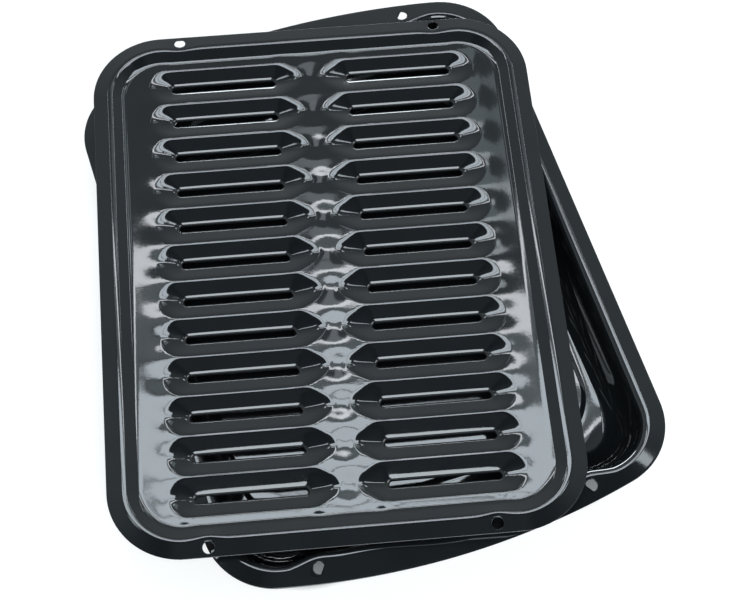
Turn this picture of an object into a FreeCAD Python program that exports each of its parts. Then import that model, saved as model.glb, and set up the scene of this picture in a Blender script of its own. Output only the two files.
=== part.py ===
"""Two-piece broiler pan: a drawn drip pan and the slotted grill that lies across its rim.

Both pieces are pressed from one sheet of enamelled steel each. Lengths are in
millimetres. X runs across the pan, Y along it and Z up, and the pan stands on
z = 0. The grill is modelled level about its own centre, with its field at
z = 0, and is then laid on the pan's rim, where three points carry it.
"""
import FreeCAD
import Part
import math
import os

# Sheet
SHEET = 1.0                     # enamelled steel, both pieces
SEAT_CLEARANCE = 0.05           # height left between the grill and the rim it lies on

# Drip pan, rim
PAN_HEIGHT = 41.0               # table to the crest of the rim
PAN_CREST_HALF_X = 151.0        # crest line of the rim
PAN_CREST_HALF_Y = 198.5
PAN_CREST_CORNER = 40.0
PAN_CREST_LAND = 0.6            # flat top of the crest
PAN_CREST_RADIUS = 3.0          # bend from the rim into the wall
PAN_RIM_WIDTH = 11.0            # crest to outer edge along the sides
PAN_GRIP_WIDTH = 23.5           # crest to outer edge in the middle of the bowed ends
PAN_END_BOW = 24.5              # how far the ends are bowed outwards
PAN_RIM_CORNER = 50.0
PAN_RIM_DROP = 3.8              # fall from the crest to the middle of the bowed ends
PAN_LIP = 2.5                   # turned-down lip there, level all round at its lower edge
BEND_ANGLES = (30, 60)          # degrees at which the bend's outlines are drawn

# Drip pan, bowl
PANEL_HALF_X = 124.0            # raised centre panel
PANEL_HALF_Y = 151.0
PANEL_CORNER = 42.0
PANEL_RISE = 2.0
PANEL_STEP = 3.0                # width of the sloping step round the panel
GUTTER_FLAT = 3.0               # flat strip round the panel, which the pan stands on
GUTTER_CORNER = 46.0
WALL_STATIONS = 5               # outlines that a wall is drawn through

# Slotted grill, rim
GRILL_CREST_HALF_X = 150.3      # crest line between the flange and the field
GRILL_CREST_HALF_Y = 197.8
GRILL_CREST_CORNER = 40.0
GRILL_CREST_LAND = 1.2          # flat top of the crest
GRILL_CREST_HEIGHT = 3.5        # above the field
GRILL_FLANGE = 10.8             # crest to outer edge
GRILL_FLANGE_DROP = 3.0
GRILL_LIP = 2.5
GRILL_BAND = 11.6               # crest to the edge of the flat field

# Slotted grill, hollows and slots
ROWS = 12
ROW_PITCH = 30.0
RIDGE_WIDTH = 0.8               # flat left between two hollows
HOLLOW_DEPTH = 3.2
HOLLOW_INNER_TIP = 6.2          # tip next to the middle line, from the middle line
HOLLOW_INNER_SHOULDER = 27.0
HOLLOW_OUTER_SHOULDER = 104.0
HOLLOW_OUTER_TIP = 119.0
INNER_END_BULGE = 2.0           # height of each end arc over its chord
OUTER_END_BULGE = 3.2
SLOT_INNER = 27.25              # ends of the pierced slot, from the middle line
SLOT_OUTER = 102.75
SLOT_WIDTH = 4.5
COLLAR_WIDTH = 1.25             # turned-down edge round the slot
COLLAR_DEPTH = 1.0
END_CHORDS = 6                  # flat facets round each end of a slot and its hollow

# Hanging holes, in both rims
HOLE_RADIUS = 4.0
HOLE_X = 95.3
HOLE_FROM_CREST = 4.2           # centre of a hole, outwards from the crest line
HOLE_CUT = 5.0                  # how far below the crest a hole is cut

# How the grill lies on the pan
GRILL_TURN = -12.6              # degrees about Z, seen from above
GRILL_SHIFT_X = -23.6
GRILL_SHIFT_Y = 6.6

FACET_HEIGHT = 0.05             # coarseness of the facets that feel for the seat
FACET_CELL = 10.0               # size of the cells that sort those facets
START_DIRECTIONS = (90, 210, 330)   # degrees, where the search for the seat starts
CUT_MARGIN = 1.0                # how far a cutter runs past the face it cuts
BLOCK_DEPTH = 15.0              # depth of the block that the grill is pressed from
TINY = 1e-6                     # lengths, areas and volumes below this count as none
UP = FreeCAD.Vector(0, 0, 1)


def vec(x, y, z=0.0):
    """A point."""
    return FreeCAD.Vector(x, y, z)


def outline(half_x, half_y, corner, z, bow=0.0):
    """Closed outline with rounded corners, its two ends straight or bowed outwards."""
    if bow > 0:
        end_radius = (half_x ** 2 + bow ** 2) / (2 * bow)
        end_centre = half_y - end_radius
        corner_y = end_centre + math.sqrt((end_radius - corner) ** 2 - (half_x - corner) ** 2)
        touch = math.atan2(corner_y - end_centre, half_x - corner)
    else:
        corner_y = half_y - corner
        touch = math.pi / 2
    touch_x = half_x - corner + corner * math.cos(touch)
    touch_y = corner_y + corner * math.sin(touch)
    middle_x = half_x - corner + corner * math.cos(touch / 2)
    middle_y = corner_y + corner * math.sin(touch / 2)

    def end(side):
        start = vec(side * touch_x, side * touch_y, z)
        finish = vec(-side * touch_x, side * touch_y, z)
        if bow > 0:
            return Part.Arc(start, vec(0, side * half_y, z), finish)
        return Part.LineSegment(start, finish)

    def corner_arc(first, via, last):
        return Part.Arc(vec(*first, z), vec(*via, z), vec(*last, z))

    pieces = [
        Part.LineSegment(vec(half_x, -corner_y, z), vec(half_x, corner_y, z)),
        corner_arc((half_x, corner_y), (middle_x, middle_y), (touch_x, touch_y)),
        end(1),
        corner_arc((-touch_x, touch_y), (-middle_x, middle_y), (-half_x, corner_y)),
        Part.LineSegment(vec(-half_x, corner_y, z), vec(-half_x, -corner_y, z)),
        corner_arc((-half_x, -corner_y), (-middle_x, -middle_y), (-touch_x, -touch_y)),
        end(-1),
        corner_arc((touch_x, -touch_y), (middle_x, -middle_y), (half_x, -corner_y)),
    ]
    return Part.Wire([piece.toShape() for piece in pieces])


def loft(wires):
    """Solid through a stack of outlines, straight from each to the next."""
    return Part.makeLoft(wires, True, True)


def hanging_holes(crest_half_y, crest_z):
    """Upright cylinders that pierce a rim near its four corners."""
    hole_y = crest_half_y + HOLE_FROM_CREST
    foot_z = crest_z - HOLE_CUT
    height = HOLE_CUT + CUT_MARGIN
    return [
        Part.makeCylinder(HOLE_RADIUS, height, vec(side * HOLE_X, end * hole_y, foot_z))
        for side in (-1, 1)
        for end in (-1, 1)
    ]


# Drip pan

def pan_rim_outline(inset, z):
    """Outer edge of the pan's rim, with its two ends bowed into grips."""
    return outline(
        PAN_CREST_HALF_X + PAN_RIM_WIDTH - inset,
        PAN_CREST_HALF_Y + PAN_GRIP_WIDTH - inset,
        PAN_RIM_CORNER - inset,
        z,
        PAN_END_BOW,
    )


def pan_crest_outline(inset, z):
    """Line parallel to the crest of the pan's rim, inset towards the bowl."""
    return outline(PAN_CREST_HALF_X - inset, PAN_CREST_HALF_Y - inset, PAN_CREST_CORNER - inset, z)


def rim_block(inset, lowering, bottom):
    """Block inside the rim's outline, under a top that falls evenly from the crest."""
    slope = PAN_RIM_DROP / PAN_GRIP_WIDTH
    reach = PAN_GRIP_WIDTH + PAN_END_BOW
    crest_z = PAN_HEIGHT - lowering
    top = loft([
        pan_crest_outline(-reach, 0),
        pan_crest_outline(-reach, crest_z - slope * reach),
        pan_crest_outline(0, crest_z),
    ])
    column = Part.Face(pan_rim_outline(inset, bottom)).extrude(UP * (PAN_HEIGHT - bottom))
    return column.common(top)


def pan_rim():
    """Sloping rim and lip, with the opening of the bowl still closed."""
    lip_z = PAN_HEIGHT - PAN_RIM_DROP - PAN_LIP
    upper = rim_block(0, 0, lip_z)
    under = rim_block(SHEET, SHEET, lip_z - CUT_MARGIN)
    return upper.cut(under)


def wall_outlines(offset):
    """Outlines down a wall whose section is a quarter ellipse, offset outwards."""
    foot_x = PANEL_HALF_X + PANEL_STEP + GUTTER_FLAT
    foot_y = PANEL_HALF_Y + PANEL_STEP + GUTTER_FLAT
    run_x = PAN_CREST_HALF_X - PAN_CREST_RADIUS - foot_x + offset
    run_y = PAN_CREST_HALF_Y - PAN_CREST_RADIUS - foot_y + offset
    top_z = PAN_HEIGHT - PAN_CREST_RADIUS
    fall = top_z - SHEET + offset
    top_corner = PAN_CREST_CORNER - PAN_CREST_RADIUS + offset
    wires = []
    for station in range(WALL_STATIONS + 1):
        share = station / WALL_STATIONS
        angle = share * math.pi / 2
        corner = top_corner + (GUTTER_CORNER - top_corner) * share
        wires.append(outline(
            foot_x + run_x * math.cos(angle),
            foot_y + run_y * math.cos(angle),
            corner,
            top_z - fall * math.sin(angle),
        ))
    return wires


def crest_bend():
    """Outlines of the bend from the crest of the rim down into the wall."""
    wires = []
    for degrees in BEND_ANGLES:
        angle = math.radians(degrees)
        inset = PAN_CREST_RADIUS * math.sin(angle)
        drop = PAN_CREST_RADIUS * (1 - math.cos(angle))
        wires.append(pan_crest_outline(inset, PAN_HEIGHT - drop))
    return wires


def panel_block(inset, bottom, top):
    """Raised panel with its sloping step."""
    return loft([
        outline(
            PANEL_HALF_X + PANEL_STEP - inset,
            PANEL_HALF_Y + PANEL_STEP - inset,
            PANEL_CORNER + PANEL_STEP - inset,
            bottom,
        ),
        outline(PANEL_HALF_X - inset, PANEL_HALF_Y - inset, PANEL_CORNER - inset, top),
    ])


def drip_pan():
    """Drawn pan: rim, wall, gutter and raised centre panel, all one sheet."""
    outer = wall_outlines(SHEET)
    neck = PAN_CREST_RADIUS - SHEET
    bowl = loft([pan_crest_outline(neck, PAN_HEIGHT - SHEET / 2)] + outer)
    mouth = [
        pan_crest_outline(PAN_CREST_LAND, PAN_HEIGHT + CUT_MARGIN),
        pan_crest_outline(PAN_CREST_LAND, PAN_HEIGHT),
    ]
    hollow = loft(mouth + crest_bend() + wall_outlines(0))
    hollow = hollow.cut(panel_block(0, SHEET, SHEET + PANEL_RISE))
    step_tuck = SHEET / 2
    recess = panel_block(step_tuck, 0, PANEL_RISE)
    pan = pan_rim().fuse(bowl).cut(hollow).cut(recess)
    return pan.cut(hanging_holes(PAN_CREST_HALF_Y, PAN_HEIGHT))


# Slotted grill

def grill_outline(inset, z):
    """Line parallel to the grill's crest, inset towards the field."""
    return outline(
        GRILL_CREST_HALF_X - inset,
        GRILL_CREST_HALF_Y - inset,
        GRILL_CREST_CORNER - inset,
        z,
    )


def pressed_block(inset, lowering):
    """Block whose top is the pressed form of the grill, before its hollows."""
    edge_z = GRILL_CREST_HEIGHT - GRILL_FLANGE_DROP - lowering
    crest_z = GRILL_CREST_HEIGHT - lowering
    block = loft([
        grill_outline(inset - GRILL_FLANGE, -BLOCK_DEPTH - lowering),
        grill_outline(inset - GRILL_FLANGE, edge_z),
        grill_outline(0, crest_z),
    ])
    pocket = loft([
        grill_outline(GRILL_CREST_LAND, crest_z + CUT_MARGIN),
        grill_outline(GRILL_CREST_LAND, crest_z),
        grill_outline(GRILL_BAND, -lowering),
    ])
    return block.cut(pocket)


def slot_ring(inner, outer, width, z):
    """Points round a round-ended slot, starting where its inner end begins."""
    half = width / 2
    points = []
    for centre, first_angle in ((inner + half, 90), (outer - half, -90)):
        for step in range(END_CHORDS + 1):
            angle = math.radians(first_angle + 180 * step / END_CHORDS)
            points.append(vec(centre + half * math.cos(angle), half * math.sin(angle), z))
    return points


def bulged_points(start, finish, bulge, count):
    """Evenly spaced points on the arc of the given height between two points."""
    dx = finish[0] - start[0]
    dy = finish[1] - start[1]
    length = math.hypot(dx, dy)
    radius = (length ** 2 / 4 + bulge ** 2) / (2 * bulge)
    half_turn = math.asin(length / 2 / radius)
    points = []
    for step in range(count + 1):
        angle = half_turn * (2 * step / count - 1)
        along = length / 2 + radius * math.sin(angle)
        aside = radius * math.cos(angle) - radius + bulge
        points.append((
            start[0] + (dx * along + dy * aside) / length,
            start[1] + (dy * along - dx * aside) / length,
        ))
    return points


def hollow_ring(z):
    """Points round the boat-shaped rim of one hollow, matched to those of its slot."""
    half = (ROW_PITCH - RIDGE_WIDTH) / 2
    per_arc = END_CHORDS // 2
    inner = bulged_points((HOLLOW_INNER_TIP, 0), (HOLLOW_INNER_SHOULDER, half), -INNER_END_BULGE, per_arc)
    outer = bulged_points((HOLLOW_OUTER_TIP, 0), (HOLLOW_OUTER_SHOULDER, half), OUTER_END_BULGE, per_arc)
    inner_end = list(reversed(inner)) + [(x, -y) for x, y in inner[1:]]
    outer_end = [(x, -y) for x, y in reversed(outer)] + outer[1:]
    return [vec(x, y, z) for x, y in inner_end + outer_end]


def polygon_face(points):
    """Flat face with straight edges."""
    return Part.Face(Part.makePolygon(points + [points[0]]))


def faceted_stack(rings):
    """Solid through rings of as many points each, in flat faces."""
    faces = [polygon_face(rings[0]), polygon_face(rings[-1])]
    for upper, lower in zip(rings, rings[1:]):
        for index in range(len(upper)):
            after = (index + 1) % len(upper)
            a, b, c, d = upper[index], upper[after], lower[after], lower[index]
            if abs((b - a).cross(c - a).dot(d - a)) < TINY:
                faces.append(polygon_face([a, b, c, d]))
            else:
                faces.append(polygon_face([a, b, d]))
                faces.append(polygon_face([b, c, d]))
    return Part.makeSolid(Part.makeShell(faces))


def hollow_cutter(lowering):
    """One hollow, from the field down through the collar of its slot."""
    return faceted_stack([
        hollow_ring(CUT_MARGIN - lowering),
        hollow_ring(-lowering),
        slot_ring(
            SLOT_INNER - COLLAR_WIDTH,
            SLOT_OUTER + COLLAR_WIDTH,
            SLOT_WIDTH + 2 * COLLAR_WIDTH,
            -HOLLOW_DEPTH - lowering,
        ),
        slot_ring(SLOT_INNER, SLOT_OUTER, SLOT_WIDTH, -HOLLOW_DEPTH - COLLAR_DEPTH - lowering),
    ])


def slot_cutter():
    """The pierced slot itself, through the whole block."""
    face = polygon_face(slot_ring(SLOT_INNER, SLOT_OUTER, SLOT_WIDTH, -BLOCK_DEPTH))
    return face.extrude(UP * (BLOCK_DEPTH + CUT_MARGIN))


def patterned(cutter):
    """Copies of a cutter for every row, in both columns."""
    mirrored = cutter.mirror(vec(0, 0), vec(1, 0))
    copies = []
    for row in range(ROWS):
        y = ((ROWS - 1) / 2 - row) * ROW_PITCH
        for shape in (cutter, mirrored):
            moved = shape.copy()
            moved.translate(vec(0, y))
            copies.append(moved)
    return copies


def slotted_grill():
    """Pressed grill: flange, crest, field, hollows and slots, all one sheet."""
    upper = pressed_block(0, 0).cut(patterned(hollow_cutter(0)))
    under = pressed_block(SHEET, SHEET).cut(patterned(hollow_cutter(SHEET)))
    sheet = upper.cut(under)
    lip_z = GRILL_CREST_HEIGHT - GRILL_FLANGE_DROP - GRILL_LIP
    skirt_depth = BLOCK_DEPTH + CUT_MARGIN
    skirt = Part.Face(grill_outline(-GRILL_FLANGE - CUT_MARGIN, -skirt_depth))
    skirt = skirt.extrude(UP * (skirt_depth + lip_z))
    core = Part.Face(grill_outline(SHEET + CUT_MARGIN - GRILL_FLANGE, -skirt_depth))
    core = core.extrude(UP * (skirt_depth + lip_z))
    sheet = sheet.cut(skirt.cut(core))
    holes = hanging_holes(GRILL_CREST_HALF_Y, GRILL_CREST_HEIGHT)
    return sheet.cut(patterned(slot_cutter()) + holes)


# Laying the grill on the pan

def facets(shape):
    """Triangles of a shape's surface, without those that stand upright."""
    vertices, triangles = shape.tessellate(FACET_HEIGHT)
    found = [[vertices[index] for index in indices] for indices in triangles]
    return [facet for facet in found if abs(plan_area(facet)) > TINY]


def plan_area(facet):
    """Twice a triangle's area in plan, negative where its corners run clockwise."""
    a, b, c = facet
    return (b.x - a.x) * (c.y - a.y) - (c.x - a.x) * (b.y - a.y)


def cells_under(facet):
    """Cells of the plan that a triangle's bounds touch."""
    low_x = int(min(corner.x for corner in facet) // FACET_CELL)
    high_x = int(max(corner.x for corner in facet) // FACET_CELL)
    low_y = int(min(corner.y for corner in facet) // FACET_CELL)
    high_y = int(max(corner.y for corner in facet) // FACET_CELL)
    return [(x, y) for x in range(low_x, high_x + 1) for y in range(low_y, high_y + 1)]


def clipped(polygon, facet):
    """Corners of the part of a polygon that lies over or under a triangle."""
    turn = math.copysign(1, plan_area(facet))
    for index in range(3):
        start = facet[index]
        along = facet[(index + 1) % 3] - start
        sides = [turn * (along.x * (p.y - start.y) - along.y * (p.x - start.x)) for p in polygon]
        kept = []
        for here, side in enumerate(sides):
            after = (here + 1) % len(polygon)
            if side >= 0:
                kept.append(polygon[here])
            if side * sides[after] < 0:
                share = side / (side - sides[after])
                kept.append(polygon[here] + (polygon[after] - polygon[here]) * share)
        polygon = kept
    return polygon


def height_on(facet, point):
    """Height of a triangle's plane over or under a point."""
    a, b, c = facet
    share_b = plan_area([a, point, c]) / plan_area(facet)
    share_c = plan_area([a, b, point]) / plan_area(facet)
    return a.z + share_b * (b.z - a.z) + share_c * (c.z - a.z)


def seat_demands(grill, pan):
    """Lift of the grill that each corner of an overlap between the two asks for.

    Where a facet of the rim lies under a facet of the grill, the two come
    closest at a corner of their overlap, so no other point needs a look.
    """
    seen = pan.copy()
    shift = vec(GRILL_SHIFT_X, GRILL_SHIFT_Y)
    seen.Placement = FreeCAD.Placement(shift, FreeCAD.Rotation(UP, GRILL_TURN)).inverse()
    lowest = PAN_HEIGHT - PAN_RIM_DROP
    cells = {}
    for facet in facets(grill):
        for cell in cells_under(facet):
            cells.setdefault(cell, []).append(facet)
    demands = []
    for facet in facets(seen):
        if max(corner.z for corner in facet) < lowest:
            continue
        near = {id(other): other for cell in cells_under(facet) for other in cells.get(cell, ())}
        for other in near.values():
            for point in clipped(facet, other):
                demands.append((point.x, point.y, point.z - height_on(other, point)))
    return demands


def plane_through(three):
    """Height at the centre and the two slopes of the plane through three demands."""
    (xa, ya, za), (xb, yb, zb), (xc, yc, zc) = three
    area = (xb - xa) * (yc - ya) - (xc - xa) * (yb - ya)
    slope_x = ((zb - za) * (yc - ya) - (zc - za) * (yb - ya)) / area
    slope_y = ((xb - xa) * (zc - za) - (xc - xa) * (zb - za)) / area
    return za - slope_x * xa - slope_y * ya, slope_x, slope_y


def holds_centre(three):
    """Whether the centre lies within the triangle of three plan positions."""
    turns = []
    for index in range(3):
        x1, y1, _ = three[index]
        x2, y2, _ = three[(index + 1) % 3]
        turns.append(x1 * y2 - x2 * y1)
    return min(turns) > 0 or max(turns) < 0


def resting_plane(demands):
    """Lowest plane that clears every demand and stands on three round the centre.

    The grill's weight acts at its centre, so it settles on the three points of
    the rim that hold the centre between them and lie below no other demand.
    """
    def in_direction(degrees):
        angle = math.radians(degrees)
        return max(demands, key=lambda d: d[0] * math.cos(angle) + d[1] * math.sin(angle))

    three = [in_direction(degrees) for degrees in START_DIRECTIONS]
    while True:
        height, slope_x, slope_y = plane_through(three)
        worst = max(demands, key=lambda d: d[2] - height - slope_x * d[0] - slope_y * d[1])
        if worst[2] - height - slope_x * worst[0] - slope_y * worst[1] < TINY:
            return height, slope_x, slope_y, three
        swaps = [[worst if n == out else three[n] for n in range(3)] for out in range(3)]
        three = next(swap for swap in swaps if holds_centre(swap))


def lay_on_rim(grill, pan):
    """Turn, tilt and lower the grill until the pan's rim carries it at three points."""
    height, slope_x, slope_y, three = resting_plane(seat_demands(grill, pan))
    tilt = FreeCAD.Rotation(UP, vec(-slope_x, -slope_y, 1))
    turn = FreeCAD.Rotation(UP, GRILL_TURN)
    place = vec(GRILL_SHIFT_X, GRILL_SHIFT_Y, height + SEAT_CLEARANCE)
    laid = grill.copy()
    laid.Placement = FreeCAD.Placement(place, turn.multiply(tilt))
    print("grill rests at", [tuple(round(value, 1) for value in point) for point in three])
    print("centre height", round(height, 2), "tilt in degrees",
          round(math.degrees(math.hypot(slope_x, slope_y)), 2))
    return laid


def main():
    """Build both pieces, centre them over the origin and write them."""
    pan = drip_pan()
    grill = lay_on_rim(slotted_grill(), pan)
    box = Part.makeCompound([pan, grill]).BoundBox
    to_centre = vec(-box.Center.x, -box.Center.y, -box.ZMin)
    os.makedirs("parts", exist_ok=True)
    for name, shape in (("drip_pan", pan), ("slotted_grill", grill)):
        shape.translate(to_centre)
        shape.exportStep("parts/" + name + ".step")
        print(name, "solids", len(shape.Solids), "valid", shape.isValid(),
              "volume", round(shape.Volume), "faces", len(shape.Faces))
    print("moved by", tuple(round(value, 3) for value in to_centre))


main()
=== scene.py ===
"""A two-piece broiler pan in glossy black enamel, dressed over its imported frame.

Both pieces are pressed from sheet, so each is made here as one closed shell: rings of
points run round the piece from its middle out to its rim, over the lip and back along
the underside. The hollows of the grill are one patch, repeated by Geometry Nodes.
Lengths are millimetres until a shell becomes a mesh, and metres from there on.
"""

import logging
import math
from collections.abc import Sequence
from dataclasses import dataclass, field
from enum import Enum

import bmesh
import bpy
import numpy as np
from mathutils import Euler, Matrix, Quaternion, Vector


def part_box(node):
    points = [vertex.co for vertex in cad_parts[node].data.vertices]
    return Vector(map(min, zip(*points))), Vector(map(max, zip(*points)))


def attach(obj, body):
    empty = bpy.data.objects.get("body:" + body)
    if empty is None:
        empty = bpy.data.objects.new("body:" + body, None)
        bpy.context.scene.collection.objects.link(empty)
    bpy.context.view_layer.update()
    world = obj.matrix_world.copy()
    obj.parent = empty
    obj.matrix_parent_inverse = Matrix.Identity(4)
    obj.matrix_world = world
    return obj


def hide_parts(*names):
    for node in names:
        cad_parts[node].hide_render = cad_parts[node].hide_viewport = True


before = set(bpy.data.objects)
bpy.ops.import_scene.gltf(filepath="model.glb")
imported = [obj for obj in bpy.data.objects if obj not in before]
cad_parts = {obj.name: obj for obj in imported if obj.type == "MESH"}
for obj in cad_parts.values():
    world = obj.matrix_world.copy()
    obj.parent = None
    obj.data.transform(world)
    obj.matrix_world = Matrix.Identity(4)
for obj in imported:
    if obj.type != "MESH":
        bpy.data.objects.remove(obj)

log = logging.getLogger("broiler_pan")

METRE = 0.001
UP = Vector((0, 0, 1))
WELD = 2e-6
SHARP_ANGLE = math.radians(50)


class Body(Enum):
    """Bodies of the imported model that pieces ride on."""

    ROOT = "root"


class Slot(Enum):
    """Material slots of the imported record."""

    ENAMEL = "enamel"


Level = tuple[np.ndarray, float | np.ndarray]


def steps(first: float, last: float, count: int) -> np.ndarray:
    """Evenly spaced values from the first up to, but without, the last."""
    return np.linspace(first, last, count, endpoint=False)


def pairs(x: float | np.ndarray, y: float | np.ndarray) -> np.ndarray:
    """Plan points, one row each, from their two coordinates."""
    return np.column_stack(np.broadcast_arrays(x, y))


def around(angles: np.ndarray) -> np.ndarray:
    """Unit directions at some angles."""
    return pairs(np.cos(angles), np.sin(angles))


def unit(vectors: np.ndarray) -> np.ndarray:
    """Vectors of length one in the same directions."""
    return vectors / np.linalg.norm(vectors, axis=-1, keepdims=True)


def nearest_plane(points: np.ndarray) -> np.ndarray:
    """Slopes along X and Y, and height at the origin, of the plane nearest to some points."""
    terms = np.column_stack([points[:, :2], np.ones(len(points))])
    return np.linalg.lstsq(terms, points[:, 2], rcond=None)[0]


def filleted(corners: Sequence[tuple[float, float]], radii: Sequence[float], count: int = 4) -> np.ndarray:
    """Round the inner corners of an open profile.

    Args:
        corners: Profile points, distance and height.
        radii: One radius for each inner corner.
        count: Steps round each arc.

    Returns:
        The profile points, one row each.
    """
    line = np.array(corners, dtype=float)
    share = np.linspace(0, 1, count + 1)[:, None]
    points = [line[:1]]
    for before, here, after, radius in zip(line, line[1:], line[2:], radii):
        back, ahead = unit(before - here), unit(after - here)
        half = math.acos(float(np.clip(back @ ahead, -1, 1))) / 2
        centre = unit(back + ahead) * radius / math.sin(half)
        start, finish = (arm * radius / math.tan(half) - centre for arm in (back, ahead))
        points.append(here + centre + unit(start * (1 - share) + finish * share) * radius)
    return np.vstack([*points, line[-1:]])


def in_scene(name: str, data: bpy.types.ID) -> bpy.types.Object:
    """Make an object and link it to the scene.

    Args:
        name: Name of the object.
        data: Its mesh, lamp or camera data.

    Returns:
        The object.
    """
    made = bpy.data.objects.new(name, data)
    bpy.context.scene.collection.objects.link(made)
    return made


@dataclass(frozen=True)
class Columns:
    """How many columns of points stand along each stretch of an outline."""

    side: int
    corner: int
    end: int


@dataclass(frozen=True)
class Outline:
    """Plan outline with round corners, its two ends straight or bowed outwards."""

    half_x: float
    half_y: float
    corner: float
    bow: float = 0.0

    def inset(self, amount: float) -> "Outline":
        """The parallel outline that lies further in."""
        return Outline(self.half_x - amount, self.half_y - amount, self.corner - amount, self.bow)

    def scaled(self, share: float) -> "Outline":
        """The same outline drawn smaller about the middle."""
        return Outline(self.half_x * share, self.half_y * share, self.corner * share)

    def plan(self, columns: Columns) -> np.ndarray:
        """Points round the outline."""
        return self.rays(columns)[0]

    def beyond(self, points: np.ndarray) -> np.ndarray:
        """How far points lie outside the outline with straight ends, below zero inside."""
        past = np.abs(points) - (self.half_x - self.corner, self.half_y - self.corner)
        return np.linalg.norm(np.maximum(past, 0), axis=1) + np.minimum(past.max(axis=1), 0) - self.corner

    def rays(self, columns: Columns) -> tuple[np.ndarray, np.ndarray]:
        """Points round the outline and the directions that point out of it.

        Args:
            columns: Number of points along each stretch.

        Returns:
            Plan points and unit normals, anticlockwise from the right side's lower end.
        """
        centre_x = self.half_x - self.corner
        if self.bow > 0:
            radius = (self.half_x**2 + self.bow**2) / (2 * self.bow)
            end_centre = self.half_y - radius
            centre_y = end_centre + math.sqrt((radius - self.corner) ** 2 - centre_x**2)
            touch = math.atan2(centre_y - end_centre, centre_x)
            end_normals = around(steps(touch, math.pi - touch, columns.end))
            end_points = end_normals * radius + (0, end_centre)
        else:
            centre_y = self.half_y - self.corner
            touch = math.pi / 2
            end_normals = np.tile((0.0, 1.0), (columns.end, 1))
            end_points = pairs(steps(centre_x, -centre_x, columns.end), self.half_y)
        first = around(steps(0, touch, columns.corner))
        second = around(steps(math.pi - touch, math.pi, columns.corner))
        points = np.vstack([
            pairs(self.half_x, steps(-centre_y, centre_y, columns.side)),
            first * self.corner + (centre_x, centre_y),
            end_points,
            second * self.corner + (-centre_x, centre_y),
        ])
        normals = np.vstack([np.tile((1.0, 0.0), (columns.side, 1)), first, end_normals, second])
        return np.vstack([points, -points]), np.vstack([normals, -normals])


class Shell:
    """Points and faces of one sheet while it is being made."""

    def __init__(self) -> None:
        """Start with no points and no faces."""
        self.blocks: list[np.ndarray] = []
        self.count = 0
        self.faces: list[tuple[int, ...]] = []

    def ring(self, plan: np.ndarray, height: float | np.ndarray) -> np.ndarray:
        """Add a ring of points.

        Args:
            plan: Plan positions, one row each.
            height: One height for all of them, or one each.

        Returns:
            The indices of the new points.
        """
        self.blocks.append(np.column_stack([plan, np.broadcast_to(height, len(plan))]))
        self.count += len(plan)
        return np.arange(self.count - len(plan), self.count)

    def points(self) -> np.ndarray:
        """All points so far, one row each."""
        return np.vstack(self.blocks)

    def band(self, inner: np.ndarray, outer: np.ndarray, skipped: frozenset[int] = frozenset()) -> None:
        """Join two closed rings with one face per column.

        Args:
            inner: Indices of the ring further in.
            outer: Indices of the ring further out, as many.
            skipped: Columns that stay open.
        """
        corners = np.column_stack([inner, outer, np.roll(outer, -1), np.roll(inner, -1)])
        self.faces += [tuple(face) for column, face in enumerate(corners.tolist()) if column not in skipped]

    def fan(self, ring: np.ndarray) -> None:
        """Close a level ring about the origin with triangles to a point in its middle."""
        middle = int(self.ring(np.zeros((1, 2)), self.points()[ring[0], 2])[0])
        self.faces += [(middle, *edge) for edge in zip(ring.tolist(), np.roll(ring, -1).tolist())]

    def zipped(self, inner: np.ndarray, outer: np.ndarray) -> None:
        """Join two closed rings that have different numbers of points.

        Args:
            inner: Indices of the ring further in, anticlockwise.
            outer: Indices of the ring further out, anticlockwise.
        """
        points = self.points()

        def turned(ring: np.ndarray) -> tuple[list[int], list[float]]:
            """Start a ring at its least angle.

            Args:
                ring: Indices of the ring.

            Returns:
                The indices, and the angle that follows each of them.
            """
            angles = np.arctan2(points[ring, 1], points[ring, 0])
            start = int(np.argmin(angles))
            return np.roll(ring, -start).tolist(), [*np.roll(angles, -start)[1:], math.inf, math.inf]

        (inner, next_inner), (outer, next_outer) = turned(inner), turned(outer)
        i = j = 0
        while i < len(inner) or j < len(outer):
            last = (inner[i % len(inner)], outer[j % len(outer)])
            if j >= len(outer) or (i < len(inner) and next_inner[i] <= next_outer[j]):
                i += 1
                self.faces.append((*last, inner[i % len(inner)]))
            else:
                j += 1
                self.faces.append((*last, outer[j % len(outer)]))

    def mesh(self, name: str, placed: Matrix | None = None) -> bpy.types.Mesh:
        """Turn the shell into a mesh in metres.

        Args:
            name: Name of the mesh.
            placed: Where the shell goes, in metres; at the origin if left out.

        Returns:
            The mesh.
        """
        mesh = bpy.data.meshes.new(name)
        mesh.from_pydata((self.points() * METRE).tolist(), [], self.faces)
        if placed is not None:
            mesh.transform(placed)
        mesh.update()
        return mesh


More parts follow.
